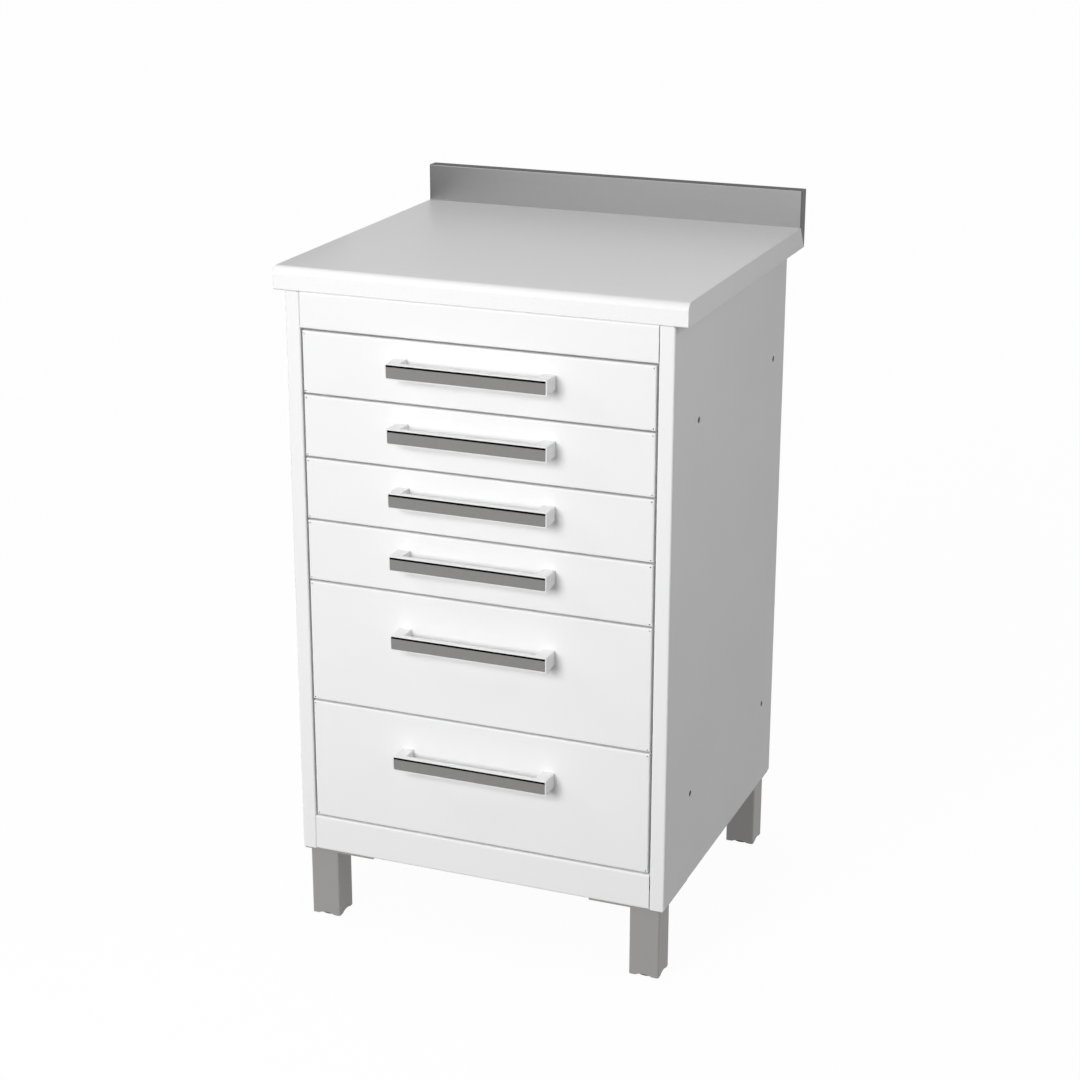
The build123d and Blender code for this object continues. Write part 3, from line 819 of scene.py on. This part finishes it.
# %% Lamps
lamps = {
    "key": {"place": (-0.6, -3.1, 1.6), "aim": (0.0, -0.2, 0.6), "size": (1.3, 1.5), "watts": 79},
    "side_fill": {"place": (-1.3, -0.75, 1.5), "aim": (0.0, 0.0, 0.85), "size": (0.5, 0.5), "watts": 3},
    "right_fill": {"place": (1.15, -0.45, 1.3), "aim": (0.25, 0.0, 0.7), "size": (0.4, 0.4), "watts": 2.0},
}
for name, lamp in lamps.items():
    data = bpy.data.lights.new(name, "AREA")
    data.shape = "RECTANGLE"
    data.size, data.size_y = lamp["size"]
    data.energy = lamp["watts"]
    lamp_object = bpy.data.objects.new(name, data)
    lamp_object.matrix_world = looking_matrix(lamp["place"], np.subtract(lamp["place"], lamp["aim"]))
    lamp_object.visible_glossy = False
    bpy.context.scene.collection.objects.link(lamp_object)
print("lamps", len(lamps))

# %% [markdown]
# ## World
#
# An even world would light the worktop as strongly as the fronts.  A world that is darker overhead fills
# the rest, so the right side reads as grey although its paint is white.  The camera, and what metal
# reflects, see a plain white instead, which is the white background of the photograph.


# %% World
def seen_by(tree, kinds):
    """1 for the kinds of ray that are named and 0 for all others."""
    path = add_node(tree, "ShaderNodeLightPath")
    share = path.outputs[kinds[0]]
    for kind in kinds[1:]:
        share = calculate(tree, "MAXIMUM", share, path.outputs[kind])
    return share


horizon, overhead = 0.5, 0.22
world = bpy.data.worlds.new("studio")
world.use_nodes = True
bpy.context.scene.world = world
tree = world.node_tree
direction = add_node(tree, "ShaderNodeTexCoord").outputs["Generated"]
height = add_node(tree, "ShaderNodeSeparateXYZ", {0: direction}).outputs["Z"]
level = add_node(
    tree, "ShaderNodeMapRange",
    {"Value": height, "From Min": 0.0, "From Max": 1.0, "To Min": horizon, "To Max": overhead},
)
fill_light = tree.nodes["Background"]
tree.links.new(level.outputs["Result"], fill_light.inputs["Strength"])
fill_light.inputs["Color"].default_value = (1, 1, 1, 1)
white = add_node(tree, "ShaderNodeBackground", {"Color": (1, 1, 1, 1), "Strength": 1.0})
seen = seen_by(tree, ["Is Camera Ray", "Is Glossy Ray", "Is Transmission Ray"])
both = add_node(tree, "ShaderNodeMixShader", {0: seen, 1: fill_light.outputs[0], 2: white.outputs[0]})
tree.links.new(both.outputs[0], tree.nodes["World Output"].inputs["Surface"])
print("world from", horizon, "to", overhead)

# %% [markdown]
# ## Floor
#
# The floor is one large sheet.  A floor white enough to vanish would throw its light back up on the
# cabinet.  So for the light that bounces off it, it is a plain surface of a dull grey.  For the camera,
# most of it is a steady white, and the rest is the same lit surface, so that the soft shadow under the
# cabinet still shows.


# %% Floor
def grid_faces(count):
    """Quads between the neighbours of a square grid of points, count by count."""
    row, column = np.meshgrid(np.arange(count - 1), np.arange(count - 1), indexing="ij")
    first = (row * count + column).ravel()
    return np.stack([first, first + 1, first + count + 1, first + count], axis=1).tolist()


def floor_sheet(half, rise, count):
    """A square grid that curls up far out: height grows with the cube of the distance past half."""
    steps = np.linspace(-3 * half, 3 * half, count)
    x, y = np.meshgrid(steps, steps)
    past = np.clip(np.hypot(x, y) / half - 1, 0, None)
    return np.stack([x, y, rise * past ** 3], axis=-1).reshape(-1, 3), grid_faces(count)


def plain_paint(name, level, roughness):
    """One plain grey, for what stands round the object and isn't part of it."""
    material = bpy.data.materials.new(name)
    material.use_nodes = True
    shader = material.node_tree.nodes["Principled BSDF"]
    shader.inputs["Base Color"].default_value = grey(level)
    shader.inputs["Roughness"].default_value = roughness
    return material


steady_share, steady_strength = 0.76, 1.26
floor_paint = plain_paint("floor_white", 0.15, 0.7)
tree = floor_paint.node_tree
lit = tree.nodes["Principled BSDF"]
steady = add_node(tree, "ShaderNodeEmission", {"Color": (1, 1, 1, 1), "Strength": steady_strength})
share = calculate(tree, "MULTIPLY", seen_by(tree, ["Is Camera Ray", "Is Glossy Ray"]), steady_share)
both = add_node(tree, "ShaderNodeMixShader", {0: share, 1: lit.outputs[0], 2: steady.outputs[0]})
tree.links.new(both.outputs[0], tree.nodes["Material Output"].inputs["Surface"])
points, faces = floor_sheet(4.0, 0.05, 61)
floor = new_mesh("floor", points, faces, floor_paint)
print("floor", len(faces), "faces")

# %% [markdown]
# ## A dark flag
#
# A polished or satin metal shows what stands round it.  A photographer sets a dark card beside a bright
# object so that its metal gets a darker end and reads as metal.  This card is seen by reflections alone,
# and it hardly rises above the worktop, so the worktop stays light.


# %% Flag
def bowed_sheet(width, height, bow, count):
    """A sheet in YZ whose middle stands forward: X is the bow times a cosine of the distance across."""
    across, up = np.meshgrid(np.linspace(-0.5, 0.5, count), np.linspace(0, 1, count))
    points = np.stack([bow * np.cos(math.pi * across), width * across, height * up], axis=-1)
    return points.reshape(-1, 3), grid_faces(count)


points, faces = bowed_sheet(0.66, 0.57, 0.04, 13)
flag = new_mesh("dark_flag", points + [-0.38, -0.12, 0.36], faces, plain_paint("flag_cloth", 0.02, 0.5))
for kind in ("camera", "diffuse", "transmission", "shadow", "volume_scatter"):
    setattr(flag, f"visible_{kind}", False)
print("flag", len(faces), "faces")

# %% [markdown]
# ## Colour view
#
# The colours are shown as they are, with no film curve over them.

# %% Colour view
bpy.context.scene.view_settings.view_transform = "Standard"
